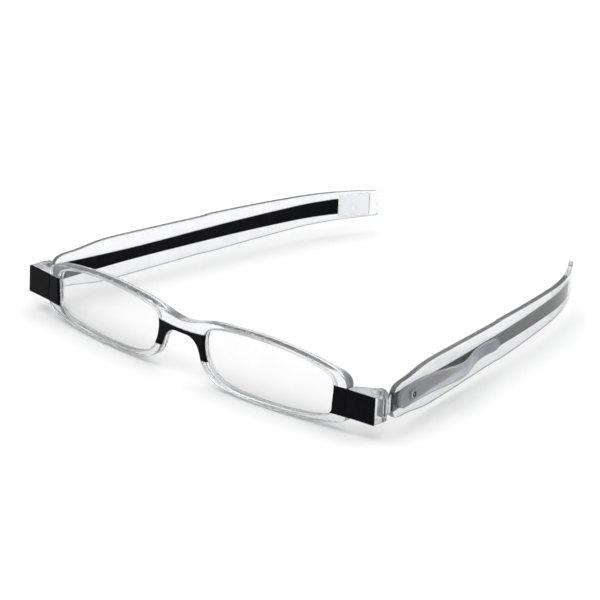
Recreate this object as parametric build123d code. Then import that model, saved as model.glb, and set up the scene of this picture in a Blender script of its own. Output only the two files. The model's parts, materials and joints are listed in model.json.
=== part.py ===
from build123d import *
import math
import os

# Folding reading glasses, in millimetres.  +X is the viewer's right when the glasses are seen from
# the front, +Y runs back along the temples, +Z is up.  The parts are laid out about the plane of
# symmetry (X = 0), with Y = 0 on the front surface at the bridge and Z = 0 on the swivel axes, and
# are then moved so that the origin is at the crown of the bridge's underside, where the nose bears.
# "left" and "right" are the viewer's left and right.

# ---- front ----
WRAP_RADIUS = 372.0          # the front is bent to this radius in plan
WRAP_HALF_WIDTH = 75.0       # half the bent sheet that the front is cut from
RIM_DEPTH = 3.3              # rim thickness, front to back
RIM_EDGE = 0.45              # rounding of the rim's edges
FRONT_HALF = 60.35           # centre to the flat end of the rim
SADDLE_RISE = 4.35           # crown of the bridge's underside, above the swivel axes
INLAY_DEPTH = 0.8            # black inlays in the front surface
BLOCK_HALF_HEIGHT = 4.2      # hinge blocks and end inlays
LENS_FRONT = 0.95            # depth of the lens behind the front surface
LENS_THICKNESS = 1.4
LENS_GROOVE = 0.45           # how far the lens reaches into the rim
BRIDGE_INLAY_TOP = 5.75      # top of the black arch at the centre
INLAY_ARCH_RISE = 0.9        # how much higher the arch's top edge is at its ends
INLAY_HALF_WIDTH = 11.2
INLAY_LEG_END = -1.6         # lower end of the arch's legs
END_INLAY_START = 50.0       # the end inlays are cut from here outward

# ---- swivel between the front and each hinge block ----
SWIVEL_Y = 6.7
SWIVEL_GAP = 0.1             # between the rim's end and the block
RUNNING_CLEARANCE = 0.05
RIVET_RADIUS = 0.6
RIVET_HEAD_RADIUS = 0.85
RIVET_HEAD_THICKNESS = 0.6
RIVET_HEAD_X = 57.2          # the head's face, at the bottom of its pocket in the rim
RIVET_POCKET_X = 54.5        # where the pocket opens into the lens opening
COLLAR_RADIUS = 0.95
COLLAR_THICKNESS = 0.5
WASHER_THICKNESS = 0.3

# ---- hinge blocks ----
BLOCK_END = 70.05            # centre to the outer face
BLOCK_FRONT_OUTER = 6.0      # Y of the front face at the outer end
BLOCK_REAR = 12.8
BLOCK_REAR_INNER = 8.9       # Y of the rear face at the rim's end
BLOCK_REAR_KNEE = 65.9       # X where the slanted rear face meets the flat one
BLOCK_WALL = 1.05            # the wall that the swivel rivet runs through
BLOCK_CORNER = 2.0
BLOCK_EDGE = 0.3
COVER_THICKNESS = 0.4
CAVITY_LENGTH = 1.1          # the hollow that the rivet's collar turns in
CAVITY_REACH = 1.0           # from the swivel axis to the hollow's walls

# ---- fold hinges ----
PIN_X = 67.6
PIN_Y = 11.6
PIN_RADIUS = 0.7
PIN_HEAD_RADIUS = 1.05
PIN_HEAD_HEIGHT = 0.5
PIN_HEAD_EDGE = 0.2
PIN_SLOT_WIDTH = 0.35
PIN_SLOT_DEPTH = 0.2
KNUCKLE_RADIUS = 1.6
TONGUE_HALF_HEIGHT = 2.6
TONGUE_SIDE_GAP = 0.05
SLOT_FRONT = 1.8             # from the pin to the slot's front wall
SLOT_INNER = 2.3             # from the pin to the slot's inner wall
ARM_BACK = 1.3               # how far the knuckle's arm reaches ahead of the pin
ARM_REACH = 2.2              # how far it reaches outward of the pin
LINK_START = 0.5             # the plate that joins the arm to the strip
LINK_END = 4.5
LINK_THICKNESS = 0.8

# ---- temples, laid out from the fold pin: T runs along the temple, inward is +Y ----
LEFT_OPEN_ANGLE = 85.5       # between the temple and the front, as set down
RIGHT_OPEN_ANGLE = 78.3
TEMPLE_START = 2.8
TEMPLE_OFFSET = 1.55         # middle of the strip, outward of the pin
TEMPLE_THICKNESS = 1.6
TEMPLE_EDGE = 0.4
STRAIGHT_LENGTH = 60.0
BOW_RADIUS = 500.0
BOW_LENGTH = 36.4
HOOK_RADIUS = 75.0
HOOK_LENGTH = 30.8
TEMPLE_LENGTH = STRAIGHT_LENGTH + BOW_LENGTH + HOOK_LENGTH
NEAR_HALF_HEIGHT = 3.3
TIP_HALF_HEIGHT = 4.35
TIP_SLOPE = -0.035            # of the outline where the rounded corner begins
TIP_CORNER = 2.2
TIP_CORNER_DROP = 2.6
STRIPE_START = 0.7           # from the temple's near end
STRIPE_END = 113.0
STRIPE_NEAR_HALF_HEIGHT = 2.7
STRIPE_FAR_HALF_HEIGHT = 2.5
STRIPE_THICKNESS = 0.8
LABEL_GAP = 0.2              # between the stripe's end and the label
LABEL_LENGTH = 10.8
LABEL_HALF_HEIGHT = 3.8
LABEL_THICKNESS = 0.15

# ---- pocket clip on the right temple's outer face ----
CLIP_START = 1.6             # from the temple's near end
CLIP_RISE = 0.5              # the clip's centre line above the temple's
CLIP_THICKNESS = 1.2
CLIP_EDGE = 0.35
CLIP_GAP = 0.06
CLIP_BULGE = 2.9             # height of the gap that takes the pocket's edge
CLIP_HALF_HEIGHT = 3.0
CLIP_WAIST_HALF_HEIGHT = 2.1
CLIP_TIP_HALF_HEIGHT = 1.9
CLIP_TIP_ROUND = 4.0         # length of the rounded tip
CLIP_LENGTH = 56.7
CLIP_RIVET_AT = 7.0          # from the clip's root end
CLIP_RIVET_RADIUS = 0.55
CLIP_RIVET_HEAD = 1.0
CLIP_RIVET_DOME = 0.4
CLIP_RIVET_EDGE = 0.3
CLIP_HOLE_CLEARANCE = 0.2

TALL = 40.0                  # longer than anything that it cuts
ORIGIN = Pos(0, -RIM_DEPTH / 2, -SADDLE_RISE)


# ---------------------------------------------------------------- helpers
def wrap_y(x, depth=0.0):
    """Y of the bent front at x, at a depth behind its front surface."""
    return WRAP_RADIUS - math.sqrt((WRAP_RADIUS - depth) ** 2 - x * x)


def in_elevation(points):
    """(x, z) points as 3-D points in the plane Y = 0."""
    return [(x, 0, z) for x, z in points]


def closed_face(edges):
    return Face(Wire.combine(edges)[0])


def through_y(face):
    """A face in the plane Y = 0, extruded a long way to both sides of it."""
    return extrude(Pos(0, -TALL, 0) * face, amount=2 * TALL, dir=(0, 1, 0))


def through_z(face):
    """A face in the plane Z = 0, extruded a long way above and below it."""
    return extrude(Pos(0, 0, -TALL / 2) * face, amount=TALL, dir=(0, 0, 1))


def curved_slab(near, far):
    """The bent sheet between two depths behind the front surface."""
    half = WRAP_HALF_WIDTH
    corners = [wrap_y(half, near), wrap_y(half, far)]
    front = ThreePointArc((-half, corners[0]), (0, near), (half, corners[0]))
    back = ThreePointArc((half, corners[1]), (0, far), (-half, corners[1]))
    ends = [Line(front @ 1, back @ 0), Line(back @ 1, front @ 0)]
    return through_z(closed_face([front, back] + ends))


def x_cylinder(radius, start, end, y=SWIVEL_Y, z=0.0):
    middle = (start + end) / 2
    return Pos(middle, y, z) * Rot(0, 90, 0) * Cylinder(radius, end - start)


def mirrored(part):
    return mirror(part, about=Plane.YZ)


# ---------------------------------------------------------------- front outlines
def rim_half_outline():
    """Right half of the rim's outer edge, from the bridge's top round to its underside."""
    top = Spline(
        in_elevation([(0, 8.55), (10, 10.35), (20, 11.4), (31, 11.75), (43, 10.85), (56, 8.7)]),
        tangents=[(1, 0, 0), (1, 0, -0.25)],
    )
    upper_corner = Spline(
        in_elevation([(56, 8.7), (59.3, 7.2), (FRONT_HALF, 4.6)]),
        tangents=[(1, 0, -0.25), (0, 0, -1)],
    )
    end = Line((FRONT_HALF, 0, 4.6), (FRONT_HALF, 0, -4.3))
    lower_corner = Spline(
        in_elevation([(FRONT_HALF, -4.3), (59.3, -6.0), (56, -7.1)]),
        tangents=[(0, 0, -1), (-1, 0, -0.18)],
    )
    bottom = Spline(
        in_elevation([(56, -7.1), (46, -8.5), (33, -9.1), (20, -8.35), (11.6, -6.1), (8.0, -1.7)]),
        tangents=[(-1, 0, -0.18), (-0.35, 0, 1)],
    )
    saddle = Spline(
        in_elevation([(8.0, -1.7), (6.2, 2.4), (4.0, 4.0), (0, SADDLE_RISE)]),
        tangents=[(-0.35, 0, 1), (-1, 0, 0)],
    )
    return [top, upper_corner, end, lower_corner, bottom, saddle]


def rim_face():
    half = rim_half_outline()
    return closed_face(half + [mirror(edge, about=Plane.YZ) for edge in half])


def opening_face(grow=0.0):
    """The right lens opening, or the lens that it holds when grown by the groove's depth."""
    centre_x, centre_z, width, height = 32.6, 1.5, 46.5, 18.0

    def place(points):
        stretch_x = 1 + 2 * grow / width
        stretch_z = 1 + 2 * grow / height
        return in_elevation(
            [(centre_x + (x - centre_x) * stretch_x, centre_z + (z - centre_z) * stretch_z) for x, z in points]
        )

    outer = Line(*place([(55.85, 3.2), (55.45, -2.9)]))
    corner_slope, toe_slope, nose_slope = (1, 0, -0.33), (-1, 0, -0.22), (-1, 0, 0.45)
    top = Spline(
        place([(12.6, 8.75), (20, 10.0), (31, 10.45), (43, 9.75), (51.8, 7.75)]),
        tangents=[(1, 0, 0.3), corner_slope],
    )
    outer_top = Spline(
        place([(51.8, 7.75), (54.8, 6.1), (55.85, 3.2)]), tangents=[corner_slope, outer % 0]
    )
    outer_bottom = Spline(
        place([(55.45, -2.9), (54.3, -4.7), (51.3, -5.95)]), tangents=[outer % 1, toe_slope]
    )
    bottom = Spline(
        place([(51.3, -5.95), (43, -7.15), (33, -7.5), (22, -7.15), (15.2, -5.7)]),
        tangents=[toe_slope, nose_slope],
    )
    nose_side = Spline(
        place([(15.2, -5.7), (11.3, -2.7), (9.35, 2.2), (9.5, 6.6), (12.6, 8.75)]),
        tangents=[nose_slope, (1, 0, 0.3)],
    )
    return closed_face([top, outer_top, outer, outer_bottom, bottom, nose_side])


def bridge_inlay_window():
    """What the black arch and its two legs take of the front: a band with a bowed top edge."""
    leg = INLAY_HALF_WIDTH
    shoulder = BRIDGE_INLAY_TOP + INLAY_ARCH_RISE
    top = ThreePointArc((-leg, 0, shoulder), (0, 0, BRIDGE_INLAY_TOP), (leg, 0, shoulder))
    bottom = Line((-leg, 0, INLAY_LEG_END), (leg, 0, INLAY_LEG_END))
    sides = [Line(top @ 0, bottom @ 0), Line(top @ 1, bottom @ 1)]
    return through_y(closed_face([top, bottom] + sides))


def end_inlay_window():
    middle = (FRONT_HALF + END_INLAY_START) / 2
    return Pos(middle, 0, 0) * Box(FRONT_HALF - END_INLAY_START, TALL, 2 * BLOCK_HALF_HEIGHT)


# ---------------------------------------------------------------- front pieces
def lens():
    return through_y(opening_face(LENS_GROOVE)) & curved_slab(LENS_FRONT, LENS_FRONT + LENS_THICKNESS)


def rim_blank():
    """The rim before the lenses, inlays and rivets are let into it."""
    rim = through_y(rim_face()) & curved_slab(0, RIM_DEPTH)
    opening = through_y(opening_face())
    rim = rim - opening - mirrored(opening)
    rounded = []
    for edge in rim.edges():
        at_flat_end = abs(edge.center().X) > FRONT_HALF - 0.01
        along_outline = edge.length > 1.5 * RIM_DEPTH
        if along_outline and not at_flat_end:
            rounded.append(edge)
    return fillet(rounded, RIM_EDGE)


def bridge_inlay(blank):
    return blank & bridge_inlay_window() & curved_slab(-1, INLAY_DEPTH)


def end_inlay(blank):
    return blank & end_inlay_window() & curved_slab(-1, INLAY_DEPTH)


def swivel_rivet():
    """Head in the rim, shank through the rim's end and the block's wall, collar in the cavity."""
    head_end = RIVET_HEAD_X + RIVET_HEAD_THICKNESS
    collar_start = cavity_start() + RUNNING_CLEARANCE + WASHER_THICKNESS + RUNNING_CLEARANCE
    collar_end = collar_start + COLLAR_THICKNESS
    head = x_cylinder(RIVET_HEAD_RADIUS, RIVET_HEAD_X, head_end)
    shank = x_cylinder(RIVET_RADIUS, head_end, collar_end)
    collar = x_cylinder(COLLAR_RADIUS, collar_start, collar_end)
    return head + shank + collar


def wave_washer():
    start = cavity_start() + RUNNING_CLEARANCE
    ring = x_cylinder(COLLAR_RADIUS, start, start + WASHER_THICKNESS)
    return ring - x_cylinder(RIVET_RADIUS + RUNNING_CLEARANCE, start - 1, start + 1)


def front_frame(blank, lenses, inlays):
    """The clear rim: the blank less everything let into it."""
    frame = blank
    for piece in lenses + inlays:
        frame = frame - piece
    hole = x_cylinder(RIVET_RADIUS, RIVET_HEAD_X, FRONT_HALF + 1)
    pocket = x_cylinder(RIVET_HEAD_RADIUS, RIVET_POCKET_X, RIVET_HEAD_X + RIVET_HEAD_THICKNESS)
    pocket = pocket - lenses[0]
    return frame - hole - pocket - mirrored(hole) - mirrored(pocket)


# ---------------------------------------------------------------- hinge blocks
def block_start():
    return FRONT_HALF + SWIVEL_GAP


def cavity_start():
    return block_start() + BLOCK_WALL


def block_prism(front_depth):
    """A block's plan from its front face, or from that face set back, to the rear, extruded."""
    start = block_start()
    plan = Polyline(
        (start, wrap_y(start) + front_depth),
        (BLOCK_END, BLOCK_FRONT_OUTER + front_depth),
        (BLOCK_END, BLOCK_REAR),
        (BLOCK_REAR_KNEE, BLOCK_REAR),
        (start, BLOCK_REAR_INNER),
        close=True,
    )
    face = Pos(0, 0, -BLOCK_HALF_HEIGHT) * make_face(plan)
    return extrude(face, amount=2 * BLOCK_HALF_HEIGHT, dir=(0, 0, 1))


def block_blank():
    block = block_prism(0)
    upright = block.edges().filter_by(Axis.Z)
    corner = upright.group_by(Axis.X)[-1].sort_by(Axis.Y)[-1]
    block = fillet(corner, BLOCK_CORNER)
    ends = block.faces().filter_by(Axis.Z).edges()
    outer = [edge for edge in ends if edge.center().X > block_start() + 0.01]
    return fillet(outer, BLOCK_EDGE)


def collar_cavity():
    """The hollow that the rivet's collar turns in."""
    reach = 2 * CAVITY_REACH
    return Pos(cavity_start() + CAVITY_LENGTH / 2, SWIVEL_Y, 0) * Box(CAVITY_LENGTH, reach, reach)


def block_cover(blank):
    """The black plate over the block's front."""
    return blank - block_prism(COVER_THICKNESS)


def hinge_block(blank):
    """The clear block: rivet bore and cavity in front, slot and pin hole for the temple behind."""
    block = blank & block_prism(COVER_THICKNESS)
    bore = x_cylinder(RIVET_RADIUS + RUNNING_CLEARANCE, block_start() - 1, cavity_start() + 1)
    slot = Box(TALL, TALL, 2 * (TONGUE_HALF_HEIGHT + TONGUE_SIDE_GAP))
    slot = Pos(PIN_X - SLOT_INNER + TALL / 2, PIN_Y - SLOT_FRONT + TALL / 2, 0) * slot
    pin_hole = Pos(PIN_X, PIN_Y, 0) * Cylinder(PIN_RADIUS, TALL)
    return block - collar_cavity() - bore - slot - pin_hole


def hinge_pin():
    """Pressed in from above, with a slotted head that stands proud of the block."""
    shank = Cylinder(PIN_RADIUS, 2 * BLOCK_HALF_HEIGHT)
    head = Pos(0, 0, BLOCK_HALF_HEIGHT + PIN_HEAD_HEIGHT / 2) * Cylinder(PIN_HEAD_RADIUS, PIN_HEAD_HEIGHT)
    head = fillet(head.edges().group_by(Axis.Z)[-1], PIN_HEAD_EDGE)
    slot = Box(TALL, PIN_SLOT_WIDTH, 2 * PIN_SLOT_DEPTH)
    slot = Pos(0, 0, BLOCK_HALF_HEIGHT + PIN_HEAD_HEIGHT) * slot
    return Pos(PIN_X, PIN_Y, 0) * (shank + head - slot)


# ---------------------------------------------------------------- temples
def strip_line(offset, length):
    """A line along the temple, offset inward from its middle, in plan: straight, bowed, hooked."""
    start = (TEMPLE_START, offset - TEMPLE_OFFSET)
    straight = Line(start, (TEMPLE_START + STRAIGHT_LENGTH, offset - TEMPLE_OFFSET))
    bow_angle = math.degrees(BOW_LENGTH / BOW_RADIUS)
    bow = JernArc(straight @ 1, straight % 1, BOW_RADIUS - offset, bow_angle)
    hook_angle = math.degrees((length - STRAIGHT_LENGTH - BOW_LENGTH) / HOOK_RADIUS)
    hook = JernArc(bow @ 1, bow % 1, HOOK_RADIUS - offset, hook_angle)
    return [straight, bow, hook]


def strip_slab(outer, inner, length):
    """The bent sheet between two offsets from the middle of the temple, extruded along Z."""
    outside = strip_line(outer, length)
    inside = strip_line(inner, length)
    near = Line(outside[0] @ 0, inside[0] @ 0)
    far = Line(outside[-1] @ 1, inside[-1] @ 1)
    return through_z(closed_face(outside + inside + [near, far]))


def long_edges(strip):
    """The edges that run along a strip, without the upright seams between its stretches."""
    return [edge for edge in strip.edges() if edge.bounding_box().size.X > 3]


def symmetric_face(half):
    """Edges above Z = 0 and their mirror images below it."""
    return closed_face(half + [mirror(edge, about=Plane.XY) for edge in half])


def at_length(length):
    """T reached by the middle of the strip at a length from its near end."""
    return (strip_line(0, length)[-1] @ 1).X


def temple_elevation():
    tip = at_length(TEMPLE_LENGTH) + TEMPLE_THICKNESS / 2
    drop = TIP_HALF_HEIGHT - TIP_CORNER_DROP
    near = Line((TEMPLE_START, 0, 0), (TEMPLE_START, 0, NEAR_HALF_HEIGHT))
    top = Spline(
        in_elevation([(TEMPLE_START, NEAR_HALF_HEIGHT), (10, 5.5), (18, 6.45), (31, 6.8), (60, 6.2),
                      (tip - TIP_CORNER, TIP_HALF_HEIGHT)]),
        tangents=[(0.5, 0, 1), (1, 0, TIP_SLOPE)],
    )
    corner = Spline(
        in_elevation([(tip - TIP_CORNER, TIP_HALF_HEIGHT), (tip, drop)]),
        tangents=[(1, 0, TIP_SLOPE), (0, 0, -1)],
    )
    end = Line((tip, 0, drop), (tip, 0, 0))
    return through_y(symmetric_face([near, top, corner, end]))


def stripe_elevation():
    start = TEMPLE_START + STRIPE_START
    end = at_length(STRIPE_END)
    near = Line((start, 0, 0), (start, 0, STRIPE_NEAR_HALF_HEIGHT))
    top = Spline(
        in_elevation([(start, STRIPE_NEAR_HALF_HEIGHT), (17, 2.2), (33, 1.85), (60, 1.95), (85, 2.15),
                      (end, STRIPE_FAR_HALF_HEIGHT)]),
    )
    far = Line((end, 0, STRIPE_FAR_HALF_HEIGHT), (end, 0, 0))
    return through_y(symmetric_face([near, top, far]))


def temple_stripe():
    """The black band let into the temple's inner face."""
    half = TEMPLE_THICKNESS / 2
    return strip_slab(half - STRIPE_THICKNESS, half, TEMPLE_LENGTH) & stripe_elevation()


def tip_label():
    """A blank label on the inner face, between the stripe's end and the turned-in lip."""
    half = TEMPLE_THICKNESS / 2
    start = at_length(STRIPE_END) + LABEL_GAP
    end = at_length(STRIPE_END + LABEL_LENGTH)
    window = Pos((start + end) / 2, 0, 0) * Box(end - start, TALL, 2 * LABEL_HALF_HEIGHT)
    return strip_slab(half - LABEL_THICKNESS, half, TEMPLE_LENGTH) & window


def tongue():
    """The knuckle round the pin, the arm beside it, and the plate that joins them to the strip."""
    inner_face = TEMPLE_OFFSET - TEMPLE_THICKNESS / 2
    height = 2 * TONGUE_HALF_HEIGHT
    knuckle = Cylinder(KNUCKLE_RADIUS, height)
    arm_width = ARM_BACK + KNUCKLE_RADIUS
    arm = Pos(arm_width / 2 - ARM_BACK, -ARM_REACH / 2, 0) * Box(arm_width, ARM_REACH, height)
    link = Box(LINK_END - LINK_START, LINK_THICKNESS, height)
    link = Pos((LINK_START + LINK_END) / 2, -(inner_face + LINK_THICKNESS / 2), 0) * link
    return knuckle + arm + link


def temple(stripe, label=None, clip_hole=None):
    half = TEMPLE_THICKNESS / 2
    strip = strip_slab(-half, half, TEMPLE_LENGTH) & temple_elevation()
    strip = fillet(long_edges(strip), TEMPLE_EDGE)
    body = strip + tongue() - Cylinder(PIN_RADIUS + RUNNING_CLEARANCE, TALL)
    for piece in (stripe, label, clip_hole):
        if piece is not None:
            body = body - piece
    return body


# ---------------------------------------------------------------- pocket clip
def clip_line(outward):
    """The clip's run along the temple, in plan, at a distance outward of the temple's face."""
    face = -(TEMPLE_OFFSET + TEMPLE_THICKNESS / 2 + CLIP_GAP)
    root = TEMPLE_START + CLIP_START
    lifts = [(0, 0), (9, 0), (18, 0.6), (27, 2.4), (32, CLIP_BULGE), (37, 2.1), (43, 0.6), (50, 0),
             (CLIP_LENGTH, 0.7)]
    points = [(root + t, face - lift - outward) for t, lift in lifts]
    return Spline(points, tangents=[(1, 0), (1, -0.1)])


def clip_elevation():
    root = TEMPLE_START + CLIP_START
    end = root + CLIP_LENGTH
    half = CLIP_HALF_HEIGHT
    diagonal = half * math.sqrt(0.5)
    middle = (root + half - diagonal, 0, diagonal)
    root_end = ThreePointArc((root, 0, 0), middle, (root + half, 0, half))
    tip_start = end - CLIP_TIP_ROUND
    top = Spline(
        in_elevation([(root + half, half), (root + 14, half), (root + 33, CLIP_WAIST_HALF_HEIGHT),
                      (tip_start, CLIP_TIP_HALF_HEIGHT)]),
        tangents=[(1, 0, 0), (1, 0, 0)],
    )
    tip = Spline(
        in_elevation([(tip_start, CLIP_TIP_HALF_HEIGHT), (end, 0)]), tangents=[(1, 0, 0), (0, 0, -1)]
    )
    return Pos(0, 0, CLIP_RISE) * through_y(symmetric_face([root_end, top, tip]))


def clip_rivet_place():
    return Pos(TEMPLE_START + CLIP_START + CLIP_RIVET_AT, 0, CLIP_RISE)


def y_cylinder(radius, start, end):
    return Pos(0, (start + end) / 2, 0) * Rot(90, 0, 0) * Cylinder(radius, abs(end - start))


def clip_rivet():
    outer_face = -(TEMPLE_OFFSET + TEMPLE_THICKNESS / 2 + CLIP_GAP + CLIP_THICKNESS)
    inner_end = -(TEMPLE_OFFSET - TEMPLE_THICKNESS / 2) - STRIPE_THICKNESS - RUNNING_CLEARANCE
    shank = y_cylinder(CLIP_RIVET_RADIUS, outer_face, inner_end)
    head = y_cylinder(CLIP_RIVET_HEAD, outer_face - CLIP_RIVET_DOME, outer_face)
    head = fillet(head.edges().group_by(Axis.Y)[0], CLIP_RIVET_EDGE)
    return clip_rivet_place() * (shank + head)


def clip_hole():
    """The hole in the temple that the clip's rivet enters, as deep as the stripe's back."""
    outer_face = -(TEMPLE_OFFSET + TEMPLE_THICKNESS / 2)
    radius = CLIP_RIVET_RADIUS + CLIP_HOLE_CLEARANCE
    return clip_rivet_place() * y_cylinder(radius, outer_face - 1, outer_face + STRIPE_THICKNESS)


def pocket_clip():
    inside = clip_line(0)
    outside = clip_line(CLIP_THICKNESS)
    ends = [Line(inside @ 0, outside @ 0), Line(inside @ 1, outside @ 1)]
    clip = through_z(closed_face([inside, outside] + ends)) & clip_elevation()
    clip = fillet(long_edges(clip), CLIP_EDGE)
    return clip - clip_rivet()


# ---------------------------------------------------------------- assembly
def opened(piece, angle):
    """Set a temple's piece at the fold pin, at the angle that it is opened to."""
    return Pos(PIN_X, PIN_Y, 0) * Rot(0, 0, 180 - angle) * piece


def build():
    parts = {}
    blank = rim_blank()
    right_lens = lens()
    parts["right_lens"] = right_lens
    parts["left_lens"] = mirrored(right_lens)
    parts["bridge_inlay"] = bridge_inlay(blank)
    parts["right_end_inlay"] = end_inlay(blank)
    parts["left_end_inlay"] = mirrored(parts["right_end_inlay"])
    lenses = [parts["right_lens"], parts["left_lens"]]
    inlays = [parts["bridge_inlay"], parts["right_end_inlay"], parts["left_end_inlay"]]
    parts["front_frame"] = front_frame(blank, lenses, inlays)

    block = block_blank()
    right_side = {
        "swivel_rivet": swivel_rivet(),
        "wave_washer": wave_washer(),
        "hinge_block": hinge_block(block),
        "block_cover": block_cover(block),
        "hinge_pin": hinge_pin(),
    }
    for name, piece in right_side.items():
        parts["right_" + name] = piece
        parts["left_" + name] = mirrored(piece)

    stripe = temple_stripe()
    label = tip_label()
    left_temple = temple(stripe, label=label)
    right_temple = temple(stripe, clip_hole=clip_hole())
    parts["left_temple"] = mirrored(opened(left_temple, LEFT_OPEN_ANGLE))
    parts["left_temple_stripe"] = mirrored(opened(stripe, LEFT_OPEN_ANGLE))
    parts["left_tip_label"] = mirrored(opened(label, LEFT_OPEN_ANGLE))
    parts["right_temple"] = opened(right_temple, RIGHT_OPEN_ANGLE)
    parts["right_temple_stripe"] = opened(stripe, RIGHT_OPEN_ANGLE)
    parts["pocket_clip"] = opened(pocket_clip(), RIGHT_OPEN_ANGLE)
    parts["clip_rivet"] = opened(clip_rivet(), RIGHT_OPEN_ANGLE)
    return {name: ORIGIN * piece for name, piece in parts.items()}


os.makedirs("parts", exist_ok=True)
for node, shape in build().items():
    export_step(shape, "parts/" + node + ".step")
    print(node, len(shape.solids()), round(shape.volume, 2))
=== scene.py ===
"""Folding reading glasses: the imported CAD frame, dressed for a soft studio picture."""
import json
import math

import bmesh
import bpy
from mathutils import Matrix, Vector


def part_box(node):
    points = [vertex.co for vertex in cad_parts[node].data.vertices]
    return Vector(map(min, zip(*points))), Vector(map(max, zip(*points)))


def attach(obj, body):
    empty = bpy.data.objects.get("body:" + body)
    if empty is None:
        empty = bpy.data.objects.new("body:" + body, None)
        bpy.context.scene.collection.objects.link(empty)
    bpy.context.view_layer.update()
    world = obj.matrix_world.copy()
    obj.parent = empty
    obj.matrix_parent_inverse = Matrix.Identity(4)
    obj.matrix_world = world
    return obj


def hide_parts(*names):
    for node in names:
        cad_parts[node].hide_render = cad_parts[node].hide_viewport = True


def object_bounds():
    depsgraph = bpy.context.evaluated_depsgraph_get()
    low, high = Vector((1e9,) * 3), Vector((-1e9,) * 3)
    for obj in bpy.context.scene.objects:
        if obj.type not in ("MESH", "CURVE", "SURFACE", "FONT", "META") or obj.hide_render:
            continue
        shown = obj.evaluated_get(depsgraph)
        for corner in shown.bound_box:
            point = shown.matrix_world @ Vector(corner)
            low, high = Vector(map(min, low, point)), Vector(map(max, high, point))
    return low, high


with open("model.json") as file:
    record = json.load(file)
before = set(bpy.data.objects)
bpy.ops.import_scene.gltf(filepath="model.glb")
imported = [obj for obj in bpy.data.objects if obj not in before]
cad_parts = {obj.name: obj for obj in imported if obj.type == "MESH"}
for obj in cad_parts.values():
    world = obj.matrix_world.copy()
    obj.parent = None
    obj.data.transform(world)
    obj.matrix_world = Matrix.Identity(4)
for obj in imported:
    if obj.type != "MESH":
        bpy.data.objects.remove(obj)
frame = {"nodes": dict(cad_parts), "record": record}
cad_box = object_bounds()
nodes = frame["nodes"]
MM = 0.001

# The CAD lays the glasses out from the front surface and the swivel axes, then moves its origin
# to the bridge's underside. The camera below was fitted in the first of those two layouts.
ORIGIN_SHIFT = Vector((0, -1.65, -4.35)) * MM


# ---------------------------------------------------------------- materials
def new_material(name):
    material = bpy.data.materials.new(name)
    material.use_nodes = True
    shader = material.node_tree.nodes["Principled BSDF"]
    return material, material.node_tree, shader


def noise(tree, scale, detail=3.0, distortion=0.0, stretch=(1, 1, 1)):
    """Noise over the object's own coordinates, which are metres in the glasses' frame."""
    place = tree.nodes.new("ShaderNodeTexCoord")
    mapping = tree.nodes.new("ShaderNodeMapping")
    mapping.inputs["Scale"].default_value = stretch
    texture = tree.nodes.new("ShaderNodeTexNoise")
    texture.inputs["Scale"].default_value = scale
    texture.inputs["Detail"].default_value = detail
    texture.inputs["Distortion"].default_value = distortion
    tree.links.new(place.outputs["Object"], mapping.inputs["Vector"])
    tree.links.new(mapping.outputs["Vector"], texture.inputs["Vector"])
    return texture.outputs["Fac"]


def spread(tree, value, low, high, start=0.3, end=0.7):
    """A number that varies with a texture, between two limits."""
    node = tree.nodes.new("ShaderNodeMapRange")
    node.inputs["From Min"].default_value = start
    node.inputs["From Max"].default_value = end
    node.inputs["To Min"].default_value = low
    node.inputs["To Max"].default_value = high
    tree.links.new(value, node.inputs["Value"])
    return node.outputs["Result"]


def tint(tree, value, dark, light, start=0.3, end=0.7):
    """A colour that varies with a texture, between two colours."""
    ramp = tree.nodes.new("ShaderNodeValToRGB")
    ramp.color_ramp.elements[0].position = start
    ramp.color_ramp.elements[0].color = (*dark, 1)
    ramp.color_ramp.elements[1].position = end
    ramp.color_ramp.elements[1].color = (*light, 1)
    tree.links.new(value, ramp.inputs["Fac"])
    return ramp.outputs["Color"]


def bump(tree, shader, height, strength, distance):
    node = tree.nodes.new("ShaderNodeBump")
    node.inputs["Strength"].default_value = strength
    node.inputs["Distance"].default_value = distance
    tree.links.new(height, node.inputs["Height"])
    tree.links.new(node.outputs["Normal"], shader.inputs["Normal"])


def clear_moulding(name, dark, light, rough, ripple, haze=1.0, flow_scale=200):
    """Injection-moulded clear plastic: faint flow marks, a slight frost and a hard polish."""
    material, tree, shader = new_material(name)
    flow = noise(tree, flow_scale, detail=3, distortion=0.6, stretch=(1, 1, 0.35))
    frost = noise(tree, 2600, detail=2)
    tree.links.new(tint(tree, flow, dark, light), shader.inputs["Base Color"])
    tree.links.new(spread(tree, frost, *rough), shader.inputs["Roughness"])
    shader.inputs["IOR"].default_value = 1.49
    shader.inputs["Transmission Weight"].default_value = haze
    bump(tree, shader, flow, ripple, 0.00008)
    return material


def black_plastic():
    """Satin black inlay: a fine moulded grain and a faint cloudiness."""
    material, tree, shader = new_material("satin_black")
    grain = noise(tree, 5200, detail=5)
    cloud = noise(tree, 320, detail=3, distortion=0.4)
    tree.links.new(
        tint(tree, cloud, (0.0012, 0.0012, 0.0018), (0.004, 0.004, 0.0055)), shader.inputs["Base Color"]
    )
    tree.links.new(spread(tree, grain, 0.26, 0.42), shader.inputs["Roughness"])
    shader.inputs["IOR"].default_value = 1.5
    shader.inputs["Specular IOR Level"].default_value = 0.04
    bump(tree, shader, grain, 0.12, 0.00003)
    return material


def steel():
    """Turned and tumbled steel: fine lathe lines and a few darker patches."""
    material, tree, shader = new_material("turned_steel")
    lines = noise(tree, 2400, detail=3, stretch=(1, 1, 0.15))
    patch = noise(tree, 900, detail=2)
    tree.links.new(
        tint(tree, patch, (0.42, 0.42, 0.44), (0.66, 0.66, 0.68)), shader.inputs["Base Color"]
    )
    tree.links.new(spread(tree, lines, 0.16, 0.34), shader.inputs["Roughness"])
    shader.inputs["Metallic"].default_value = 1.0
    bump(tree, shader, lines, 0.15, 0.00002)
    return material


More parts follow.
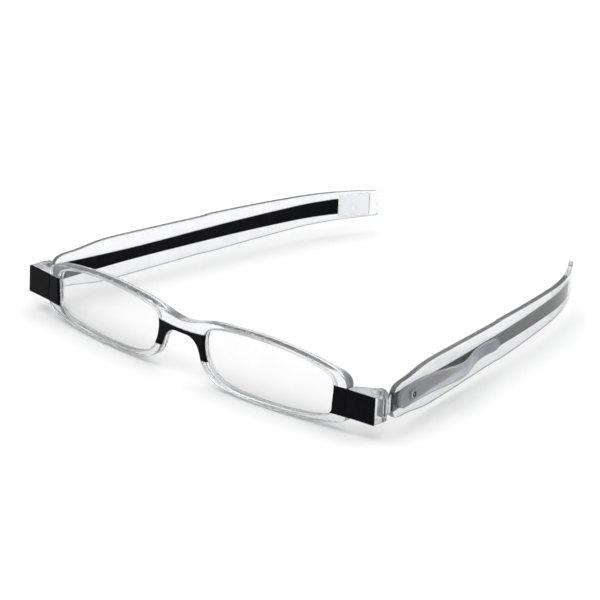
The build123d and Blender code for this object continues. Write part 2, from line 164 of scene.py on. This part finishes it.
def blank_label():
    """A pale film under the surface of the tip: cool, a little milky, printed with nothing."""
    material, tree, shader = new_material("label_film")
    cloud = noise(tree, 140, detail=4, distortion=0.5)
    tree.links.new(
        tint(tree, cloud, (0.955, 0.965, 0.985), (0.98, 0.985, 1.0)), shader.inputs["Base Color"]
    )
    tree.links.new(spread(tree, cloud, 0.22, 0.38), shader.inputs["Roughness"])
    shader.inputs["IOR"].default_value = 1.3
    shader.inputs["Transmission Weight"].default_value = 0.94
    bump(tree, shader, cloud, 0.02, 0.00001)
    return material


def studio_floor():
    material, tree, shader = new_material("studio_floor")
    cloud = noise(tree, 6, detail=2)
    tree.links.new(
        tint(tree, cloud, (0.93, 0.93, 0.93), (0.955, 0.955, 0.955)), shader.inputs["Base Color"]
    )
    shader.inputs["Roughness"].default_value = 0.9
    return material


CLEAR = clear_moulding(
    "clear_moulding", (0.87, 0.88, 0.89), (0.93, 0.94, 0.95), (0.13, 0.24), 0.06, haze=0.93
)
LENS = clear_moulding("lens_plastic", (0.885, 0.88, 0.885), (0.905, 0.90, 0.903), (0.0, 0.012), 0.003)
CLIP = clear_moulding(
    "smoky_clip", (0.60, 0.60, 0.645), (0.70, 0.70, 0.745), (0.2, 0.26), 0.015, haze=0.84, flow_scale=70
)
BLACK = black_plastic()
STEEL = steel()
LABEL = blank_label()

SLOT_MATERIALS = {
    "clear_plastic": CLEAR,
    "lens": LENS,
    "black_plastic": BLACK,
    "clip_plastic": CLIP,
    "steel": STEEL,
    "label": LABEL,
}
for row in frame["record"]["subparts"]:
    for material_slot in nodes[row["node"]].material_slots:
        material_slot.material = SLOT_MATERIALS[row["material_slot"]]


# ---------------------------------------------------------------- small pieces
COLLAR = {"radius": 1.5, "tube": 0.3, "height": 0.0}         # millimetres, as are all below
# painted shade: a black ring in the rivet's head stands for the shade in its dimple
DIMPLE_SHADE_RING = {"radius": 0.62, "tube": 0.17, "height": -0.02}
PIN_BEAD = {"radius": 1.22, "tube": 0.14, "height": 0.0}
CLIP_FACE = 0.805            # from the middle of the clip's rivet out to the clip's surface
RIVET_TOP = 1.205            # and to the top of the rivet's head
PIN_HEAD_HEIGHT = 0.5
LABEL_END_DEPTH = 0.4        # how much of the label counts as its far end
LINE_RADIUS = 0.11
LINE_STEPS = 8
LINE_TAPER = 0.5
STRIPE_BOND = 0.02           # how far the stripe reaches into the clear plastic
WELD = 0.001                 # split corners nearer than this are one
RIGHT_OPEN_ANGLE = 78.3      # degrees between the right temple and the front, as set down
SHARP_ANGLE = 30


def add_piece(name, bm, material, body, sharp=False):
    """Turns a bmesh into a smooth piece that rides on a body."""
    mesh = bpy.data.meshes.new(name)
    bm.to_mesh(mesh)
    bm.free()
    mesh.shade_smooth()
    if sharp:
        mesh.set_sharp_from_angle(angle=math.radians(SHARP_ANGLE))
    mesh.materials.clear()
    mesh.materials.append(material)
    piece = bpy.data.objects.new(name, mesh)
    bpy.context.scene.collection.objects.link(piece)
    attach(piece, body)
    return piece


def ring(name, centre, axis, profile, body, material, steps=48):
    """A turned piece: a closed profile of (radius, height) in millimetres swept about an axis."""
    turn = Vector(axis).to_track_quat("Z", "Y")
    bm = bmesh.new()
    rows = []
    for k in range(steps):
        angle = 2 * math.pi * k / steps
        spot = [Vector((r * math.cos(angle), r * math.sin(angle), h)) * MM for r, h in profile]
        rows.append([bm.verts.new(Vector(centre) + turn @ p) for p in spot])
    count = len(profile)
    for k in range(steps):
        here, there = rows[k], rows[(k + 1) % steps]
        for i in range(count):
            j = (i + 1) % count
            bm.faces.new((here[i], there[i], there[j], here[j]))
    bmesh.ops.recalc_face_normals(bm, faces=bm.faces)
    add_piece(name, bm, material, body)


def node_middle(name):
    low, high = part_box(name)
    return (low + high) / 2


def torus_profile(radius, tube, height, steps=12):
    turns = [2 * math.pi * k / steps for k in range(steps)]
    return [(radius + tube * math.cos(a), height + tube * math.sin(a)) for a in turns]


def rivet_details():
    """The moulded collar round the clip's rivet, and a black ring in its head that is painted shade for
    the dimple there.
    """
    open_angle = math.radians(RIGHT_OPEN_ANGLE)
    outward = Vector((math.sin(open_angle), math.cos(open_angle), 0))
    middle = node_middle("clip_rivet")
    clip_face = middle + outward * CLIP_FACE * MM
    head_top = middle + outward * RIVET_TOP * MM
    ring("clip_rivet_collar", clip_face, outward, torus_profile(**COLLAR),
         "pocket_clip", CLIP)
    # painted shade: the black ring paints the dimple's shade onto the rivet's head
    ring("clip_rivet_dimple_shade", head_top, outward, torus_profile(**DIMPLE_SHADE_RING),
         "pocket_clip", BLACK)


def pin_details():
    """A bead of clear plastic round each hinge pin's head."""
    for side in ("left", "right"):
        low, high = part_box(side + "_hinge_pin")
        seat = Vector(((low.x + high.x) / 2, (low.y + high.y) / 2, high.z - PIN_HEAD_HEIGHT * MM))
        ring(side + "_pin_bead", seat, (0, 0, 1), torus_profile(**PIN_BEAD),
             side + "_block", CLEAR)


def label_line():
    """The fine grey upright line where the label ends and the turned-in lip begins."""
    mesh = nodes["left_tip_label"].data
    points = [v.co.copy() for v in mesh.vertices]
    far = max(p.y for p in points)
    edge = [p for p in points if far - p.y < LABEL_END_DEPTH * MM]
    middle = sum(edge, Vector()) / len(edge)
    half_height = max(p.z for p in points) - middle.z
    bm = bmesh.new()
    profile = torus_profile(0.0, LINE_RADIUS, 0.0, steps=10)
    rows = []
    for step in range(LINE_STEPS + 1):
        level = 2 * step / LINE_STEPS - 1
        height = level * half_height
        taper = 1.0 - LINE_TAPER * level ** 4
        rows.append([
            bm.verts.new(middle + Vector((x * MM * taper, y * MM * taper, height)))
            for x, y in profile
        ])
    for lower, upper in zip(rows, rows[1:]):
        for i, corner in enumerate(lower):
            j = (i + 1) % len(lower)
            bm.faces.new((corner, lower[j], upper[j], upper[i]))
    bm.faces.new(rows[0][::-1])
    bm.faces.new(rows[-1])
    bmesh.ops.recalc_face_normals(bm, faces=bm.faces)
    add_piece("label_line", bm, CLIP, "left_temple")


def moulded_stripe(side):
    """The black stripe bonded into its temple, reaching a hair into the clear plastic round it."""
    node = side + "_temple_stripe"
    bm = bmesh.new()
    bm.from_mesh(nodes[node].data)
    bmesh.ops.remove_doubles(bm, verts=bm.verts, dist=WELD * MM)
    bm.normal_update()
    normals = [v.normal.copy() for v in bm.verts]
    for vertex, normal in zip(bm.verts, normals):
        vertex.co += normal * STRIPE_BOND * MM
    name = side + "_stripe_moulded"
    stripe = add_piece(name, bm, BLACK, side + "_temple", sharp=True)
    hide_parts(node)


moulded_stripe("left")
moulded_stripe("right")
rivet_details()
pin_details()
label_line()


# ---------------------------------------------------------------- floor and lights
def make_floor():
    low = cad_box[0].z
    size = 3.0
    mesh = bpy.data.meshes.new("floor")
    bm = bmesh.new()
    corners = [(-size, -size), (size, -size), (size, size), (-size, size)]
    bm.faces.new([bm.verts.new((x, y, low)) for x, y in corners])
    bm.to_mesh(mesh)
    bm.free()
    floor = bpy.data.objects.new("floor", mesh)
    mesh.materials.append(studio_floor())
    bpy.context.scene.collection.objects.link(floor)


WORLD_STRENGTH = 0.88
WORLD_ENDS = ((0.0, 0.50), (1.0, 1.0))          # height of the direction, grey of the sky there
WORLD_MIDDLE = ((0.18, 0.48), (0.42, 0.8))


def area_light(name, place, aim, size, power):
    data = bpy.data.lights.new(name, "AREA")
    data.shape = "RECTANGLE"
    data.size, data.size_y = size
    data.energy = power
    light = bpy.data.objects.new(name, data)
    light.location = place
    light.rotation_mode = "QUATERNION"
    light.rotation_quaternion = (Vector(aim) - Vector(place)).to_track_quat("-Z", "Y")
    bpy.context.scene.collection.objects.link(light)


def light_studio():
    middle = (0, 0.06, 0)
    area_light("key_above", (-0.2, 0.1, 1.1), middle, (1.9, 1.7), 7.9)
    area_light("fill_right", (0.9, -0.3, 0.45), middle, (0.5, 0.8), 2)
    area_light("strip_left", (-0.9, -0.35, 0.35), middle, (0.25, 0.9), 1.4)
    world = bpy.data.worlds.new("studio")
    world.use_nodes = True
    tree = world.node_tree
    background = tree.nodes["Background"]
    place = tree.nodes.new("ShaderNodeTexCoord")
    split = tree.nodes.new("ShaderNodeSeparateXYZ")
    ramp = tree.nodes.new("ShaderNodeValToRGB")
    tree.links.new(place.outputs["Generated"], split.inputs["Vector"])
    tree.links.new(split.outputs["Z"], ramp.inputs["Fac"])
    tree.links.new(ramp.outputs["Color"], background.inputs["Color"])
    for element, (height, grey) in zip(ramp.color_ramp.elements, WORLD_ENDS):
        element.position = height
        element.color = (grey, grey, grey, 1)
    for height, grey in WORLD_MIDDLE:
        element = ramp.color_ramp.elements.new(height)
        element.color = (grey, grey, grey, 1)
    background.inputs["Strength"].default_value = WORLD_STRENGTH
    bpy.context.scene.world = world
    bpy.context.scene.view_settings.view_transform = "Standard"


# ---------------------------------------------------------------- camera
def make_camera():
    azimuth = math.radians(42.448)
    elevation = math.radians(20.520)
    roll = math.radians(2.589)
    distance = 1052.6 * MM
    aside, above = 34.54 * MM, 13.60 * MM
    right = Vector((math.cos(azimuth), math.sin(azimuth), 0))
    ahead_level = Vector((-math.sin(azimuth), math.cos(azimuth), 0))
    up = Vector((0, 0, 1))
    ahead = ahead_level * math.cos(elevation) - up * math.sin(elevation)
    up_tilted = ahead_level * math.sin(elevation) + up * math.cos(elevation)
    right_rolled = right * math.cos(roll) + up_tilted * math.sin(roll)
    up_rolled = up_tilted * math.cos(roll) - right * math.sin(roll)
    data = bpy.data.cameras.new("camera")
    data.sensor_width = 36.0
    data.lens = 219.64
    data.clip_start = 0.05
    data.clip_end = 20.0
    camera = bpy.data.objects.new("camera", data)
    eye = right_rolled * aside + up_rolled * above - ahead * distance + ORIGIN_SHIFT
    basis = Matrix((right_rolled, up_rolled, -ahead)).transposed()
    camera.matrix_world = Matrix.Translation(eye) @ basis.to_4x4()
    bpy.context.scene.collection.objects.link(camera)
    bpy.context.scene.camera = camera


make_camera()
make_floor()
light_studio()
